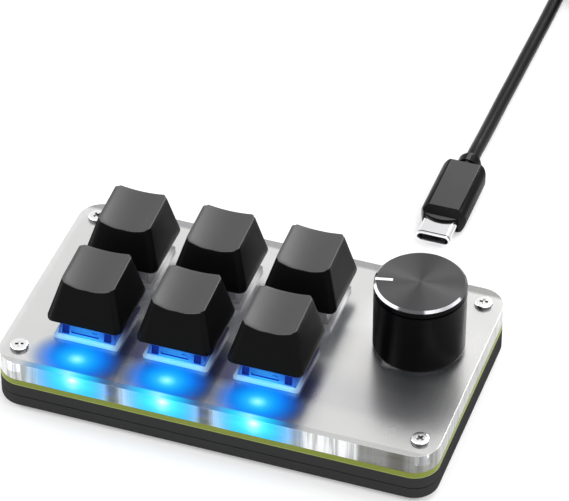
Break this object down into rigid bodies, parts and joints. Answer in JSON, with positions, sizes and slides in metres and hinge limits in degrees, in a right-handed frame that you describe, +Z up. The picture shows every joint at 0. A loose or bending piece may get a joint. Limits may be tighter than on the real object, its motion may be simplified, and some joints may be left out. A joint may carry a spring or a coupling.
{
  "type": "macro keypad",
  "caption": "Small desktop macro keypad with a frosted acrylic top, sprung black keycaps lit blue from below, one push-and-turn knob and a detachable data lead.",
  "frame": {"origin": "on the desk, under the middle of the keypad body", "axes": "+X along the long side towards the knob, +Y towards the rear with the data port, +Z up"},
  "size_m": [0.1353, 0.2395, 0.0332],
  "materials": {
    "frosted_acrylic": "cast acrylic sheet, satin top face and flame-polished clear edges",
    "board_laminate": "glass-epoxy laminate, olive green cut edge",
    "case_plastic": "moulded, fine satin texture",
    "screw_steel": "nickel plated",
    "insert_brass": "turned",
    "foot_rubber": "die-cut, matt",
    "light_blue": "lit blue light in a clear lens",
    "contact_bronze": "stamped and plated",
    "chip_epoxy": "moulded epoxy",
    "component_ceramic": "sintered",
    "connector_steel": "drawn and nickel plated",
    "connector_insulator": "moulded",
    "clear_plastic": "moulded clear, lit from below",
    "stem_plastic": "moulded",
    "spring_steel": "drawn wire",
    "keycap_plastic": "moulded, fine satin texture",
    "encoder_plastic": "moulded",
    "encoder_metal": "die cast and turned",
    "rotor_plastic": "moulded",
    "knob_aluminium": "turned and anodised black, spun top, knurled side, bright-cut chamfer",
    "pointer_white": "filled line",
    "cord_jacket": "extruded flexible jacket, satin",
    "grip_plastic": "overmoulded, satin",
    "tie_fabric": "woven hook-and-loop strap"
  },
  "bodies": {
    "base": {"top_plate": "frosted_acrylic", "circuit_board": "board_laminate", "case_frame": "case_plastic", "bottom_cover": "case_plastic", "case_screws": "screw_steel", "threaded_inserts": "insert_brass", "rubber_feet": "foot_rubber", "board_lights": "light_blue", "switch_contacts": "contact_bronze", "controller_chip": "chip_epoxy", "small_components": "component_ceramic", "port_shell": "connector_steel", "port_tongue": "connector_insulator", "switch_base_1": "clear_plastic", "switch_base_2": "clear_plastic", "switch_base_3": "clear_plastic", "switch_base_4": "clear_plastic", "switch_base_5": "clear_plastic", "switch_base_6": "clear_plastic", "switch_cover_1": "clear_plastic", "switch_cover_2": "clear_plastic", "switch_cover_3": "clear_plastic", "switch_cover_4": "clear_plastic", "switch_cover_5": "clear_plastic", "switch_cover_6": "clear_plastic", "key_spring_1": "spring_steel", "key_spring_2": "spring_steel", "key_spring_3": "spring_steel", "key_spring_4": "spring_steel", "key_spring_5": "spring_steel", "key_spring_6": "spring_steel", "encoder_base": "encoder_plastic", "encoder_bracket": "encoder_metal", "encoder_pins_group": "contact_bronze", "press_dome": "spring_steel", "plug_nose": "connector_steel", "plug_grip": "grip_plastic", "cord_run": "cord_jacket", "cord_coil": "cord_jacket", "cord_tie": "tie_fabric", "host_plug_nose": "connector_steel", "host_plug_grip": "grip_plastic"},
    "key_1": {"keycap_1": "keycap_plastic", "key_stem_1": "stem_plastic"},
    "key_2": {"keycap_2": "keycap_plastic", "key_stem_2": "stem_plastic"},
    "key_3": {"keycap_3": "keycap_plastic", "key_stem_3": "stem_plastic"},
    "key_4": {"keycap_4": "keycap_plastic", "key_stem_4": "stem_plastic"},
    "key_5": {"keycap_5": "keycap_plastic", "key_stem_5": "stem_plastic"},
    "key_6": {"keycap_6": "keycap_plastic", "key_stem_6": "stem_plastic"},
    "rotor": {"encoder_rotor": "rotor_plastic"},
    "knob": {"encoder_shaft": "encoder_metal", "knob_shell": "knob_aluminium", "knob_hub": "encoder_plastic", "knob_pointer": "pointer_white"}
  },
  "joints": [
    {"name": "key_1_press", "type": "slide", "parent": "base", "child": "key_1", "axis": [0, 0, -1], "range_m": [0, 0.004], "stiffness_N_per_m": 125, "springref_m": -0.0024, "deforming": ["key_spring_1"]},
    {"name": "key_2_press", "type": "slide", "parent": "base", "child": "key_2", "axis": [0, 0, -1], "range_m": [0, 0.004], "stiffness_N_per_m": 125, "springref_m": -0.0024, "deforming": ["key_spring_2"]},
    {"name": "key_3_press", "type": "slide", "parent": "base", "child": "key_3", "axis": [0, 0, -1], "range_m": [0, 0.004], "stiffness_N_per_m": 125, "springref_m": -0.0024, "deforming": ["key_spring_3"]},
    {"name": "key_4_press", "type": "slide", "parent": "base", "child": "key_4", "axis": [0, 0, -1], "range_m": [0, 0.004], "stiffness_N_per_m": 125, "springref_m": -0.0024, "deforming": ["key_spring_4"]},
    {"name": "key_5_press", "type": "slide", "parent": "base", "child": "key_5", "axis": [0, 0, -1], "range_m": [0, 0.004], "stiffness_N_per_m": 125, "springref_m": -0.0024, "deforming": ["key_spring_5"]},
    {"name": "key_6_press", "type": "slide", "parent": "base", "child": "key_6", "axis": [0, 0, -1], "range_m": [0, 0.004], "stiffness_N_per_m": 125, "springref_m": -0.0024, "deforming": ["key_spring_6"]},
    {"name": "knob_turn", "type": "hinge", "parent": "base", "child": "rotor", "pos_m": [0.038, 0.0058, 0.013], "axis": [0, 0, 1], "continuous": true},
    {"name": "knob_press", "type": "slide", "parent": "rotor", "child": "knob", "axis": [0, 0, -1], "range_m": [0, 0.0005], "stiffness_N_per_m": 3000, "springref_m": -0.0005}
  ]
}
